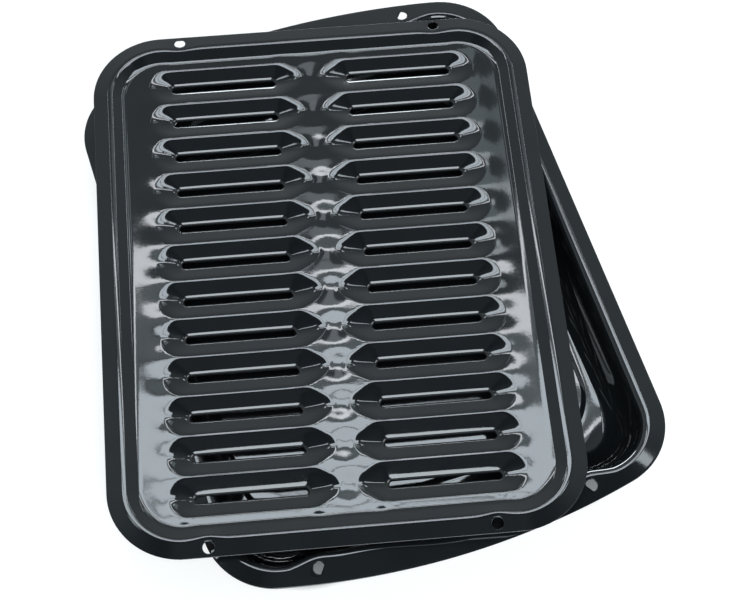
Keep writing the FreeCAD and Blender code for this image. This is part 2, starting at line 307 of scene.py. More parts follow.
@dataclass(frozen=True)
class HangingHole:
    """Round holes near the corners of a rim, where the piece hangs from a hook."""

    crest_pull: float
    pull_width: float
    radius: float = 4.0
    half_spacing: float = 95.3
    from_crest: float = 4.2
    edge_radius: float = 0.35
    window: float = 7.4
    surround_shares: tuple[float, ...] = (0.35, 0.7, 1.0)
    edge_angles: tuple[float, ...] = (30.0, 60.0, 90.0)

    def centres(self, crest_half_y: float) -> list[np.ndarray]:
        """Plan positions of the four holes."""
        reach = crest_half_y + self.from_crest
        return [np.array((side * self.half_spacing, end * reach)) for side in (-1, 1) for end in (-1, 1)]

    def columns(self, plan: np.ndarray, centre: np.ndarray) -> list[int]:
        """Columns of a ring's plan, in order, whose faces make room for the hole at a centre."""
        near = (np.abs(plan[:, 0] - centre[0]) < self.window) & (np.sign(plan[:, 1]) == np.sign(centre[1]))
        return np.flatnonzero(near).tolist()

    def pierce(
        self,
        shell: Shell,
        centre: np.ndarray,
        faces: Sequence[Sequence[np.ndarray]],
        columns: Sequence[int],
    ) -> None:
        """Fill the window left in both faces of a rim with a round hole.

        Args:
            shell: The shell that has the window.
            centre: Plan position of the hole.
            faces: Rings across the window, from the inside out, of the upper face and the underside.
            columns: Columns across the window, one more than its faces.
        """
        points = shell.points()

        def border(rings: Sequence[np.ndarray]) -> np.ndarray:
            """Go once round the window.

            Args:
                rings: Rings across it, from the inside out.

            Returns:
                Indices of the points on its border.
            """
            loop = [rings[0][column] for column in columns]
            loop += [ring[columns[-1]] for ring in rings[1:-1]]
            loop += [rings[-1][column] for column in reversed(columns)]
            loop += [ring[columns[0]] for ring in reversed(rings[1:-1])]
            return np.array(loop)

        loops = [border(rings) for rings in faces]
        spokes = unit(points[loops[0], :2] - centre)
        round_edges = []
        for loop, side in zip(loops, (1, -1)):
            corners = points[loop] - (*centre, 0)
            *slope, level = nearest_plane(corners)
            step = corners[:, 2] - corners[:, :2] @ slope - level
            rings = [loop]
            for share in self.surround_shares:
                plan = corners[:, :2] * (1 - share) + spokes * (self.radius + self.edge_radius) * share
                rings.append(shell.ring(centre + plan, plan @ slope + level + step * (1 - share) ** 2))
            for turn in np.radians(self.edge_angles):
                plan = spokes * (self.radius + self.edge_radius * (1 - math.sin(turn)))
                drop = side * self.edge_radius * (1 - math.cos(turn))
                rings.append(shell.ring(centre + plan, plan @ slope + level - drop))
            for outer, inner in zip(rings, rings[1:]):
                shell.band(inner, outer)
            round_edges.append(rings[-1])
        shell.band(round_edges[1], round_edges[0])


@dataclass
class PressedSheet:
    """What both pieces share: one sheet with a crest, and hanging holes in its rim."""

    crest: Outline
    hole: HangingHole
    columns: Columns
    sheet: float = 1.0
    lip: float = 2.5
    lip_radius: float = 0.2
    lip_tuck: float = 0.8
    end_depth: float = 0.01

    def crest_line(self) -> tuple[np.ndarray, np.ndarray, np.ndarray]:
        """Follow the crest.

        Returns:
            Its points, directions out of it, and how far it bends in beside the holes.
        """
        plan, outward = self.crest.rays(self.columns)
        aside = (np.abs(plan[:, 0]) - self.hole.half_spacing) / self.hole.pull_width
        on_end = np.abs(plan[:, 1]) > self.crest.half_y - self.end_depth
        return plan, outward, np.where(on_end, self.hole.crest_pull * np.exp(-(aside**2)), 0.0)

    def windows(self) -> list[tuple[np.ndarray, list[int]]]:
        """Find room for the hanging holes.

        Returns:
            The centre of each hole, and the columns that its window spans.
        """
        plan = self.crest.plan(self.columns)
        centres = self.hole.centres(self.crest.half_y)
        return [(centre, self.hole.columns(plan, centre)) for centre in centres]

    def joined(
        self, shell: Shell, rings: list[np.ndarray], first: int, last: int
    ) -> tuple[np.ndarray, list[np.ndarray]]:
        """Join the rings of one face, with the windows of the holes left open.

        Args:
            shell: The shell that has the rings.
            rings: The rings from the inside out.
            first: Which of them is the first across the flat of the rim.
            last: Which of them is the last across it.

        Returns:
            The last ring, and those across the flat of the rim.
        """
        skipped = frozenset(column for _, columns in self.windows() for column in columns[:-1])
        for index, (inner, outer) in enumerate(zip(rings, rings[1:])):
            shell.band(inner, outer, skipped if first <= index < last else frozenset())
        return rings[-1], rings[first:last + 1]

    def face(self, shell: Shell, upper: bool) -> tuple[np.ndarray, list[np.ndarray]]:
        """Make one face of the sheet, out to the lip's lower edge.

        Args:
            shell: The shell that takes it.
            upper: True for the upper face or inside, False for the underside.

        Returns:
            The last ring, and those across the flat of the rim.
        """
        raise NotImplementedError

    def shell(self) -> Shell:
        """Make both faces and join them at the lip and round the holes.

        Returns:
            The sheet about its own middle.
        """
        shell = Shell()
        upper_edge, upper_flat = self.face(shell, True)
        under_edge, under_flat = self.face(shell, False)
        shell.band(upper_edge, under_edge)
        for centre, columns in self.windows():
            self.hole.pierce(shell, centre, (upper_flat, under_flat), columns)
        return shell


@dataclass
class DripPan(PressedSheet):
    """The drawn pan: panel, gutter, wall, crest, sloping rim with bowed grips, and lip."""

    crest: Outline = Outline(151.0, 198.5, 40.0)
    hole: HangingHole = HangingHole(crest_pull=2.6, pull_width=12.0)
    columns: Columns = Columns(64, 20, 110)
    height: float = 41.0
    rim: Outline = Outline(161.95, 221.95, 50.0, 24.5)
    rim_drop: float = 3.8
    rim_shares: tuple[float, ...] = (0.02, 0.3, 0.5, 0.7, 0.86, 1.0)
    grip_width: float = 23.5
    lip_turns: tuple[float, ...] = (35.0, 60.0, 90.0)
    lip_edge: tuple[tuple[float, float], ...] = ((0.0, 0.35), (0.1, 0.1), (0.35, 0.0))
    crest_radius: float = 5.5
    crest_steps: int = 9
    grip_softness: float = 12.0
    grip_soft_width: float = 46.0
    grip_soft_depth: float = 1.0
    panel: Outline = Outline(124.0, 151.0, 42.0)
    panel_shares: tuple[float, ...] = (0.15, 0.35, 0.55, 0.75)
    panel_margin: float = 14.0
    panel_rise: float = 2.0
    step: float = 3.0
    step_radius: float = 1.6
    gutter: float = 3.0
    gutter_corner: float = 46.0
    wall_steps: int = 14

    def crest_radii(self, plan: np.ndarray) -> np.ndarray:
        """Bend from the rim into the wall, which is softer in the middle of the grips.

        Args:
            plan: Points of the crest.

        Returns:
            The radius at each point.
        """
        ends = np.abs(plan[:, 1]) > self.crest.half_y - self.grip_soft_depth
        soft = self.grip_softness * np.exp(-((plan[:, 0] / self.grip_soft_width) ** 2))
        return self.crest_radius + np.where(ends, soft, 0.0)

    def bowl(self, upper: bool) -> list[Level]:
        """Levels from the middle of the panel to the foot of the wall.

        Args:
            upper: True for the inside of the pan, False for its underside.

        Returns:
            The levels from the middle out.
        """
        floor = self.sheet if upper else 0.0
        tuck = 0.0 if upper else self.sheet / 2
        top = floor + self.panel_rise
        foot, reach = self.step - tuck, self.step + self.gutter
        corners = [(-self.panel_margin, top), (-tuck, top), (foot, floor), (reach, floor)]
        profile = filleted(corners, [self.step_radius] * 2)
        outlines = [(self.panel.scaled(share), top) for share in self.panel_shares]
        outlines += [(self.panel.inset(-distance), height) for distance, height in profile]
        return [(outline.plan(self.columns), height) for outline, height in outlines]

    def wall(self, upper: bool) -> list[Level]:
        """Levels up the wall and round the crest to where the rim lies straight.

        Args:
            upper: True for the inside of the pan, False for its outside.

        Returns:
            The levels from the foot up.
        """
        reach = self.step + self.gutter
        foot = Outline(self.panel.half_x + reach, self.panel.half_y + reach, self.gutter_corner)
        foot_plan = foot.plan(self.columns)
        crest_plan, outward, pull = self.crest_line()
        radii = self.crest_radii(crest_plan)
        slope = self.rim_drop / self.grip_width
        lean = math.atan(slope)
        axis = radii - self.crest_radius - pull
        axis_height = self.height - slope * axis - radii / math.cos(lean)
        shown = radii if upper else radii - self.sheet
        floor = self.sheet if upper else 0.0
        top_plan = crest_plan + outward * (axis - shown)[:, None]
        levels = []
        for angle in np.linspace(math.pi / 2, 0, self.wall_steps + 1)[1:]:
            plan = foot_plan + (top_plan - foot_plan) * math.cos(angle)
            levels.append((plan, axis_height - (axis_height - floor) * math.sin(angle)))
        for turn in np.linspace(-math.pi / 2, lean, self.crest_steps + 1)[1:]:
            plan = crest_plan + outward * (axis + shown * math.sin(turn))[:, None]
            levels.append((plan, axis_height + shown * math.cos(turn)))
        return levels

    def slope(self, start: np.ndarray, upper: bool) -> list[Level]:
        """Levels over the rim from the end of the crest's bend to the start of the lip.

        Args:
            start: Plan of the last level of the crest's bend.
            upper: True for the upper face, False for the underside.

        Returns:
            The levels from the inside out.
        """
        within = 0.0 if upper else self.sheet
        finish = self.rim.inset(within + self.lip_radius).plan(self.columns)
        plans = [start + (finish - start) * share for share in self.rim_shares]
        return [(plan, self.rim_height(plan) - within) for plan in plans]

    def rim_height(self, plan: np.ndarray) -> np.ndarray:
        """Height of the rim's upper face at plan points; it falls evenly from the crest."""
        return self.height - self.rim_drop / self.grip_width * self.crest.beyond(plan)

    def lip_levels(self, upper: bool) -> list[Level]:
        """Levels round the bend of the lip and down to its lower edge.

        Args:
            upper: True for the outside, False for the inside.

        Returns:
            The levels from the rim down.
        """
        within, side = (0.0, 1) if upper else (self.sheet, -1)
        lowest = self.height - self.rim_drop - self.lip
        levels = []
        for turn in np.radians(self.lip_turns if upper else self.lip_turns[-1:]):
            plan = self.rim.inset(within + self.lip_radius * (1 - math.sin(turn))).plan(self.columns)
            drop = within + self.lip_radius * (1 - math.cos(turn))
            levels.append((plan, self.rim_height(plan) - drop))
        for inset, rise in self.lip_edge:
            outline = self.rim.inset(within + self.lip_tuck + side * inset)
            levels.append((outline.plan(self.columns), lowest + rise))
        return levels

    def face(self, shell: Shell, upper: bool) -> tuple[np.ndarray, list[np.ndarray]]:
        """Make one face of the sheet from the middle of the panel to the lip's lower edge.

        Args:
            shell: The shell that takes it.
            upper: True for the inside, False for the underside.

        Returns:
            The last ring, and those across the flat of the rim.
        """
        inside = self.bowl(upper) + self.wall(upper)
        flat = self.slope(inside[-1][0], upper)
        rings = [shell.ring(*level) for level in inside + flat + self.lip_levels(upper)]
        shell.fan(rings[0])
        return self.joined(shell, rings, len(inside), len(inside) + len(flat) - 1)


@dataclass(frozen=True)
class HollowEnd:
    """Plan curve of a hollow's edge round one of its ends, with angles in degrees."""

    tip: float
    shoulder: float
    shoulder_angle: float
    tip_angle: float

    def curve(self, half: float, count: int) -> np.ndarray:
        """Points along the curve.

        Args:
            half: Half the width of the hollow.
            count: Steps from the shoulder to the tip.

        Returns:
            Plan points from the shoulder to the tip.
        """
        outwards = 1 if self.tip > self.shoulder else -1
        at_shoulder, at_tip = np.tan(np.radians((self.shoulder_angle, self.tip_angle)))
        along = (abs(self.tip - self.shoulder) * at_tip - half) / (at_tip - at_shoulder)
        control = np.array((self.shoulder + outwards * along, half - at_shoulder * along))
        share = np.linspace(0, 1, count + 1)[:, None]
        start, finish = np.array((self.shoulder, half)), np.array((self.tip, 0.0))
        return start * (1 - share) ** 2 + control * 2 * share * (1 - share) + finish * share**2


@dataclass
class HollowPatch:
    """One boat-shaped hollow with its slot, in its share of the field."""

    sheet: float = 1.0
    pitch: float = 30.0
    reach: float = 122.0
    ridge: float = 0.8
    depth: float = 3.2
    fold: float = 3.5
    softness: float = 2.4
    end_softness: float = 2.6
    swell: float = 0.9
    end_swell: float = 1.0
    swell_spread: float = 2.2
    bead: float = 0.11
    outer_bead: float = 0.09
    bead_offset: float = 1.6
    bead_width: float = 1.2
    warp: float = 0.6
    spine_width: float = 14.0
    margin_width: float = 9.0
    margin_share: float = 0.6
    inner: HollowEnd = HollowEnd(6.2, 27.0, 14.0, 55.0)
    outer: HollowEnd = HollowEnd(119.0, 104.0, 9.0, 79.0)
    slot_inner: float = 27.25
    slot_outer: float = 102.75
    slot_width: float = 4.5
    slot_wall: float = 0.1
    collar: float = 2.5
    collar_angle: float = 75.0
    collar_gap: float = 0.05
    collar_root: float = 0.3
    lean_reach: float = 0.5
    least_beam: float = 0.01
    bell_steps: int = 11
    bell_reach: float = 2.5
    curve_steps: int = 40
    straight_steps: int = 12
    inner_steps: tuple[int, int] = (8, 6)
    outer_steps: tuple[int, int] = (6, 6)
    land_shares: tuple[float, ...] = (0, 0.28, 0.52, 0.72, 0.88)
    slope_shares: tuple[float, ...] = (0, 0.06, 0.13, 0.21, 0.3, 0.41, 0.54, 0.69, 0.84, 1.0)
    bend_shares: tuple[float, ...] = (0.12, 0.25, 0.4, 0.55, 0.7, 0.85, 1.0)
    under_shares: tuple[float, ...] = (0.8, 0.5, 0.2, 0.0)

    @property
    def half(self) -> float:
        """Half the width of the hollow."""
        return (self.pitch - self.ridge) / 2

    @property
    def ends(self) -> tuple[float, float]:
        """Distances of the slot's two round ends from the middle of the grill."""
        return self.slot_inner + self.slot_width / 2, self.slot_outer - self.slot_width / 2

    def loops(self) -> tuple[np.ndarray, ...]:
        """Draw the closed loops that the patch is made between, with points that match.

        Returns:
            Border of the patch, edge of the hollow, foot of the collar and slot.
        """
        side = self.pitch / 2
        first, last = self.ends
        outer_count, inner_count = sum(self.outer_steps), sum(self.inner_steps)
        straight = steps(self.outer.shoulder, self.inner.shoulder, self.straight_steps)
        border = np.vstack([
            pairs(self.reach, steps(0, side, self.outer_steps[1])),
            pairs(steps(self.reach, self.outer.shoulder, self.outer_steps[0]), side),
            pairs(straight, side),
            pairs(steps(self.inner.shoulder, 0, self.inner_steps[0]), side),
            pairs(0.0, np.linspace(side, 0, self.inner_steps[1] + 1)),
        ])
        hollow = np.vstack([
            self.outer.curve(self.half, outer_count)[:0:-1],
            pairs(straight, self.half),
            self.inner.curve(self.half, inner_count),
        ])

        def stadium(radius: float) -> np.ndarray:
            """Run round the slot at one distance from its centre line.

            Args:
                radius: The distance.

            Returns:
                The upper half of the loop.
            """
            return np.vstack([
                around(steps(0, math.pi / 2, outer_count)) * radius + (last, 0),
                pairs(steps(last, first, self.straight_steps), radius),
                around(np.linspace(math.pi / 2, math.pi, inner_count + 1)) * radius + (first, 0),
            ])

        halves = (border, hollow, stadium(self.slot_width / 2 + self.collar), stadium(self.slot_width / 2))
        return tuple(np.vstack([line, line[-2:0:-1] * (1, -1)]) for line in halves)

    def beyond_edge(self, along: np.ndarray, across: np.ndarray) -> tuple[np.ndarray, np.ndarray]:
        """How far points lie outside the outline of one hollow, seen from its slot.

        Args:
            along: Distances along the row, from the middle of the grill.
            across: Distances across the row, from its middle.

        Returns:
            The distances, below zero inside, and the outline's own distance from the slot.
        """
        across = np.abs(across)
        first, last = self.ends
        reach = np.maximum(first - along, 0) + np.maximum(along - last, 0)
        angle = np.arctan2(across, reach)
        edges = []
        for end, centre in ((self.inner, first), (self.outer, last)):
            curve = end.curve(self.half, self.curve_steps)[::-1]
            aside = np.maximum((curve[:, 0] - centre) * math.copysign(1, end.tip - centre), 0)
            edges.append(np.interp(angle, np.arctan2(curve[:, 1], aside), np.hypot(aside, curve[:, 1])))
        edge = np.where(along < first, *edges)
        return np.hypot(reach, across) - edge, edge

    def sharp_height(self, along: np.ndarray, across: np.ndarray) -> np.ndarray:
        """Height of the field if every edge of the hollows were sharp.

        Args:
            along: Distances along the rows, from the middle of the grill.
            across: Distances across the rows, from the middle of one of them.

        Returns:
            The heights, which go on falling evenly where the slots are.
        """
        along = np.abs(along)
        across = np.abs((across + self.pitch / 2) % self.pitch - self.pitch / 2)
        beyond, edge = self.beyond_edge(along, across)
        fall = -self.depth * beyond / (edge - self.fold)
        curve = self.inner.curve(self.half, self.curve_steps)[::-1]
        beam = np.maximum(np.interp(along, curve[:, 0], curve[:, 1]), self.least_beam)
        run = (along - self.inner.tip) / (self.inner.shoulder - self.inner.tip)
        keel = self.depth * self.half / (self.half - self.fold) * np.clip(run, 0, 1)
        fall = np.where(along < self.ends[0], keel * (1 - across / beam), fall)
        return -np.maximum(fall, 0)

    def softened(self, plan: np.ndarray, spread: np.ndarray) -> np.ndarray:
        """Sharp height averaged with bell-shaped weights.

        Args:
            plan: Plan points, with the middle of a row on y = 0.
            spread: Width of the bell at each point.

        Returns:
            The averaged heights.
        """
        total, weights = np.zeros(len(plan)), 0.0
        offsets = np.linspace(-self.bell_reach, self.bell_reach, self.bell_steps)
        for step_x in offsets:
            for step_y in offsets:
                weight = math.exp(-(step_x**2 + step_y**2) / 2)
                along, across = plan[:, 0] + spread * step_x, plan[:, 1] + spread * step_y
                total += weight * self.sharp_height(along, across)
                weights += weight
        return total / weights

    def height(self, plan: np.ndarray) -> np.ndarray:
        """Height of the pressed field, with its edges softened and its lands drawn down.

        Args:
            plan: Plan points, with the middle of a row on y = 0.

        Returns:
            The height at each point.
        """
        along = np.abs(plan[:, 0])
        across = (plan[:, 1] + self.pitch / 2) % self.pitch - self.pitch / 2
        to_end = np.maximum(self.inner.shoulder - along, along - self.outer.shoulder)
        share = np.clip(to_end / (self.inner.shoulder - self.inner.tip), 0, 1)
        spread = self.softness + (self.end_softness - self.softness) * share
        near = self.softened(plan, spread)
        wide = self.softened(plan, spread * self.swell_spread)
        spine = np.exp(-((along / self.spine_width) ** 2))
        margin = self.margin_share * np.exp(-(((along - self.outer.tip) / self.margin_width) ** 2))
        drawn = self.warp * (spine + margin) * (1 + np.cos(2 * np.pi * across / self.pitch)) / 2
        swell = self.swell + (self.end_swell - self.swell) * share
        beads = np.zeros(len(plan))
        for shift in (-self.pitch, 0.0, self.pitch):
            beyond = self.beyond_edge(along, across + shift)[0]
            beads += np.exp(-(((beyond - self.bead_offset) / self.bead_width) ** 2))
        bead = np.where(along < self.slot_outer, self.bead, self.outer_bead)
        return near + (near - wide) * swell - drawn + bead * np.sqrt(share) * beads

    def shell(self) -> Shell:
        """Make the patch, open along its border.

        Returns:
            The patch, with the row's centre line on y = 0.
        """
        shell = Shell()
        border, edge, collar, slot = self.loops()
        rings: list[np.ndarray] = []

        def add_between(
            first: np.ndarray, last: np.ndarray, shares: Sequence[float], low: float = 0.0
        ) -> None:
            """Add rings between two loops.

            Args:
                first: Loop at share 0.
                last: Loop at share 1.
                shares: Where the rings go.
                low: How far they lie under the field's upper face.
            """
            for share in shares:
                plan = first + (last - first) * share
                rings.append(shell.ring(plan, self.height(plan) - low))

        add_between(border, edge, self.land_shares)
        add_between(edge, collar, self.slope_shares)
        fold = shell.points()[rings[-1], 2]
        above = self.height(collar + unit(edge - collar) * self.lean_reach)
        lean = np.arctan((above - fold) / self.lean_reach)
        steep = math.radians(self.collar_angle)
        bend = self.collar / (math.sin(steep) - np.sin(lean))
        for share in self.bend_shares:
            angle = lean + (steep - lean) * share
            inset = bend * (np.sin(angle) - np.sin(lean)) / self.collar
            plan = collar + (slot - collar) * inset[:, None]
            rings.append(shell.ring(plan, fold - bend * (np.cos(lean) - np.cos(angle))))
        lowest = shell.points()[rings[-1], 2] - self.slot_wall
        rings.append(shell.ring(slot, lowest))
        rings.append(shell.ring(slot + (collar - slot) * self.collar_root, lowest))
        rings.append(shell.ring(collar, fold - self.sheet - self.collar_gap))
        add_between(edge, collar, self.under_shares, self.sheet)
        add_between(border, edge, (0.0,), self.sheet)
        for outer, inner in zip(rings, rings[1:]):
            shell.band(inner, outer)
        return shell

    def outer_border(self, rows: int) -> np.ndarray:
        """Plan points round the whole field of patches, anticlockwise.

        Args:
            rows: Number of rows.

        Returns:
            The points, starting at the right side's lower end.
        """
        border = self.loops()[0]
        half_length = rows * self.pitch / 2
        top = np.sort(border[border[:, 1] == self.pitch / 2, 0])
        right = pairs(self.reach, steps(-half_length, half_length, rows * 2 * self.outer_steps[1]))
        end = pairs(np.concatenate([top[::-1], -top[1:-1]]), half_length)
        return np.vstack([right, end, -right, -end])


@dataclass
class SlottedGrill(PressedSheet):
    """The pressed grill: field of hollows, band, crest, flange and lip."""

    crest: Outline = Outline(150.3, 197.8, 40.0)
    hole: HangingHole = HangingHole(crest_pull=2.15, pull_width=9.0)
    columns: Columns = Columns(96, 20, 110)
    crest_height: float = 3.5
    crest_land: float = 2.2
    crest_radius: float = 8.5
    flange: float = 10.75
    flange_drop: float = 3.0
    flange_start: float = 4.0
    flange_rings: int = 6
    seam: float = 0.08
    lip_lift: float = 0.15
    lip_gap: float = 0.2
    lip_inner_radius: float = 0.4
    lip_edge_radius: float = 0.3
    bend_steps: int = 8
    band: float = 11.6
    field_radius: float = 14.0
    field_ring: float = 14.1
    fade_start: float = 9.0
    fade_width: float = 5.0
    margin_steps: int = 4
    margin_fade: float = 5.0
    rows: int = 12
    patch: HollowPatch = field(default_factory=HollowPatch)

    def profile(self, upper: bool) -> tuple[np.ndarray, int, int]:
        """Section through the rim, as distance out from the crest and height.

        Args:
            upper: True for the upper face, False for the underside.

        Returns:
            The points from the field to the lip's lower edge, and the first and last
            of those that lie across the flat of the flange.
        """
        within, lip_radius = (0.0, self.lip_radius) if upper else (self.sheet, self.lip_inner_radius)
        slope = self.flange_drop / self.flange
        rise = self.crest_height / (self.band - self.crest_land)
        apex = -self.crest_land * rise / (rise + slope)

        def on_flange(distance: float) -> tuple[float, float]:
            """Point on the flange's upper face."""
            return distance, self.crest_height - distance * slope

        rising = filleted(
            [(-self.field_ring, 0), (-self.band, 0), on_flange(apex), on_flange(self.flange_start)],
            [self.field_radius, self.crest_radius],
            self.bend_steps // (1 if upper else 2),
        )
        edge = self.crest_height - self.flange_drop
        lowest = edge - self.lip + self.lip_lift + within
        tucked = self.flange - self.lip_tuck
        last = self.flange - within - lip_radius - self.lip_gap
        lip = filleted(
            [on_flange(last), (self.flange - within, edge), (tucked - within, lowest),
             (tucked - self.sheet / 2, lowest)],
            [lip_radius, self.lip_edge_radius],
        )
        start = rising[-2][0] + self.seam
        flat = [on_flange(distance) for distance in np.linspace(start, last, self.flange_rings)]
        kept = rising[rising[:, 0] < start - self.seam / 2]
        points = np.vstack([kept, flat, lip[1:]]) - (0, within)
        return points, len(kept), len(kept) + len(flat) - 1

    def field_height(self, plan: np.ndarray) -> np.ndarray:
        """Height of the field, carried on past its last rows and faded out there.

        Args:
            plan: Plan points in the grill.

        Returns:
            The height at each point.
        """
        half_length = self.rows * self.patch.pitch / 2
        beyond = np.maximum(np.abs(plan[:, 1]) - half_length, 0)
        within = np.clip(plan[:, 1], -half_length, half_length) - self.patch.pitch / 2
        return self.patch.height(pairs(plan[:, 0], within)) * np.exp(-((beyond / self.margin_fade) ** 2))

    def face(self, shell: Shell, upper: bool) -> tuple[np.ndarray, list[np.ndarray]]:
        """Make one face of the sheet from the patches' border to the lip's lower edge.

        Args:
            shell: The shell that takes it.
            upper: True for the upper face, False for the underside.

        Returns:
            The last ring, and those across the flat of the rim.
        """
        low = 0.0 if upper else -self.sheet
        border = self.patch.outer_border(self.rows)
        inner = shell.ring(border, low + self.field_height(border))
        start = np.array((self.patch.reach, self.rows * self.patch.pitch / 2, 0.0))
        edge = self.crest.inset(self.field_ring)
        finish = np.array((edge.half_x, edge.half_y, edge.corner))
        rings = []
        for share in steps(0, 1, self.margin_steps)[1:]:
            plan = Outline(*(start + (finish - start) * share)).plan(self.columns)
            rings.append(shell.ring(plan, low + self.field_height(plan)))
        section, first, last = self.profile(upper)
        before = len(rings)
        crest_plan, outward, pull = self.crest_line()
        for distance, height in section:
            near_crest = max(1 - abs(distance) / self.fade_start, 0)
            plan = crest_plan + outward * (distance - pull * near_crest)[:, None]
            in_field = min(max(-distance - self.fade_start, 0) / self.fade_width, 1)
            rings.append(shell.ring(plan, height + self.field_height(plan) * in_field))
        shell.zipped(inner, rings[0])
        return self.joined(shell, rings, before + first, before + last)


class Value:
    """A node's socket that can be used in arithmetic."""

    def __init__(self, network: "Network", socket: bpy.types.NodeSocket) -> None:
        """Wrap a socket of a network."""
        self.network = network
        self.socket = socket

    def combined(self, operation: str, first: object, second: object) -> "Value":
        """Result of a Math node on two values."""
        node = self.network.node("ShaderNodeMath", {0: first, 1: second}, operation=operation)
        return Value(self.network, node.outputs[0])

    def __add__(self, other: object) -> "Value":
        """This value plus another."""
        return self.combined("ADD", self, other)

    __radd__ = __add__

    def __mul__(self, other: object) -> "Value":
        """This value times another."""
        return self.combined("MULTIPLY", self, other)

    __rmul__ = __mul__

    def __sub__(self, other: object) -> "Value":
        """This value minus another."""
        return self.combined("SUBTRACT", self, other)

    def __rsub__(self, other: object) -> "Value":
        """Another value minus this one."""
        return self.combined("SUBTRACT", other, self)


class Network:
    """Nodes of one material, world or modifier."""

    def __init__(self, tree: bpy.types.NodeTree) -> None:
        """Start from an empty tree."""
        self.tree = tree
        tree.nodes.clear()

    @classmethod
    def of(cls, owner: bpy.types.ID) -> "Network":
        """The network of a new material or world."""
        owner.use_nodes = True
        return cls(owner.node_tree)

    def node(
        self, kind: str, inputs: dict[str | int, object] | None = None, **settings: object
    ) -> bpy.types.Node:
        """Add a node.

        Args:
            kind: Type of the node.
            inputs: Values, sockets or Value objects for its inputs.
            settings: Its properties.

        Returns:
            The node.
        """
        node = self.tree.nodes.new(kind)
        for name, value in settings.items():
            setattr(node, name, value)
        for name, value in (inputs or {}).items():
            socket = node.inputs[name]
            if isinstance(value, Value):
                value = value.socket
            if isinstance(value, bpy.types.NodeSocket):
                self.tree.links.new(value, socket)
            else:
                socket.default_value = value
        return node


class HollowRows:
    """Geometry Nodes that set the hollow's patch in two columns of rows."""

    def __init__(self, rows: int, pitch: float, finish: bpy.types.Material) -> None:
        """Keep the pattern's sizes.

        Args:
            rows: Rows in each column.
            pitch: Distance between rows, in metres.
            finish: Material of the result.
        """
        self.values = {"Rows": rows, "Row Pitch": pitch, "Finish": finish}
        self.tree = bpy.data.node_groups.new("rows_of_hollows", "GeometryNodeTree")
        self.inputs: dict[str, str] = {}

    def build(self) -> None:
        """Make the tree."""
        face = self.tree.interface
        face.new_socket("Geometry", in_out="INPUT", socket_type="NodeSocketGeometry")
        for name, kind in zip(self.values, ("NodeSocketInt", "NodeSocketFloat", "NodeSocketMaterial")):
            self.inputs[name] = face.new_socket(name, in_out="INPUT", socket_type=kind).identifier
        face.new_socket("Geometry", in_out="OUTPUT", socket_type="NodeSocketGeometry")
        net = Network(self.tree)
        given = net.node("NodeGroupInput").outputs
        pitch = Value(net, given["Row Pitch"])
        half_length = (Value(net, given["Rows"]) - 1) * pitch * 0.5
        start = net.node("ShaderNodeCombineXYZ", {"Y": half_length}).outputs[0]
        offset = net.node("ShaderNodeCombineXYZ", {"Y": pitch * -1}).outputs[0]
        placed = {"Count": given["Rows"], "Start Location": start, "Offset": offset}
        points = net.node("GeometryNodeMeshLine", placed, mode="OFFSET").outputs["Mesh"]
        join = net.node("GeometryNodeJoinGeometry")
        for turn in (0.0, math.pi):
            placed = {"Points": points, "Instance": given["Geometry"], "Rotation": Euler((0, 0, turn))}
            column = net.node("GeometryNodeInstanceOnPoints", placed)
            self.tree.links.new(column.outputs["Instances"], join.inputs["Geometry"])
        real = net.node("GeometryNodeRealizeInstances", {"Geometry": join.outputs[0]})
        coat = {"Geometry": real.outputs[0], "Material": given["Finish"]}
        dressed = net.node("GeometryNodeSetMaterial", coat)
        net.node("NodeGroupOutput", {"Geometry": dressed.outputs[0]})

    def repeated(self, patch: bpy.types.Mesh) -> bpy.types.Mesh:
        """Set the patch in its rows.

        Args:
            patch: Mesh of one patch.

        Returns:
            A plain mesh of all of them.
        """
        self.build()
        carrier = in_scene("hollow_patch", patch)
        modifier = carrier.modifiers.new("rows", "NODES")
        modifier.node_group = self.tree
        for name, value in self.values.items():
            modifier[self.inputs[name]] = value
        evaluated = carrier.evaluated_get(bpy.context.evaluated_depsgraph_get())
        mesh = bpy.data.meshes.new_from_object(evaluated)
        carrier.modifiers.remove(modifier)
        bpy.data.objects.remove(carrier)
        return mesh


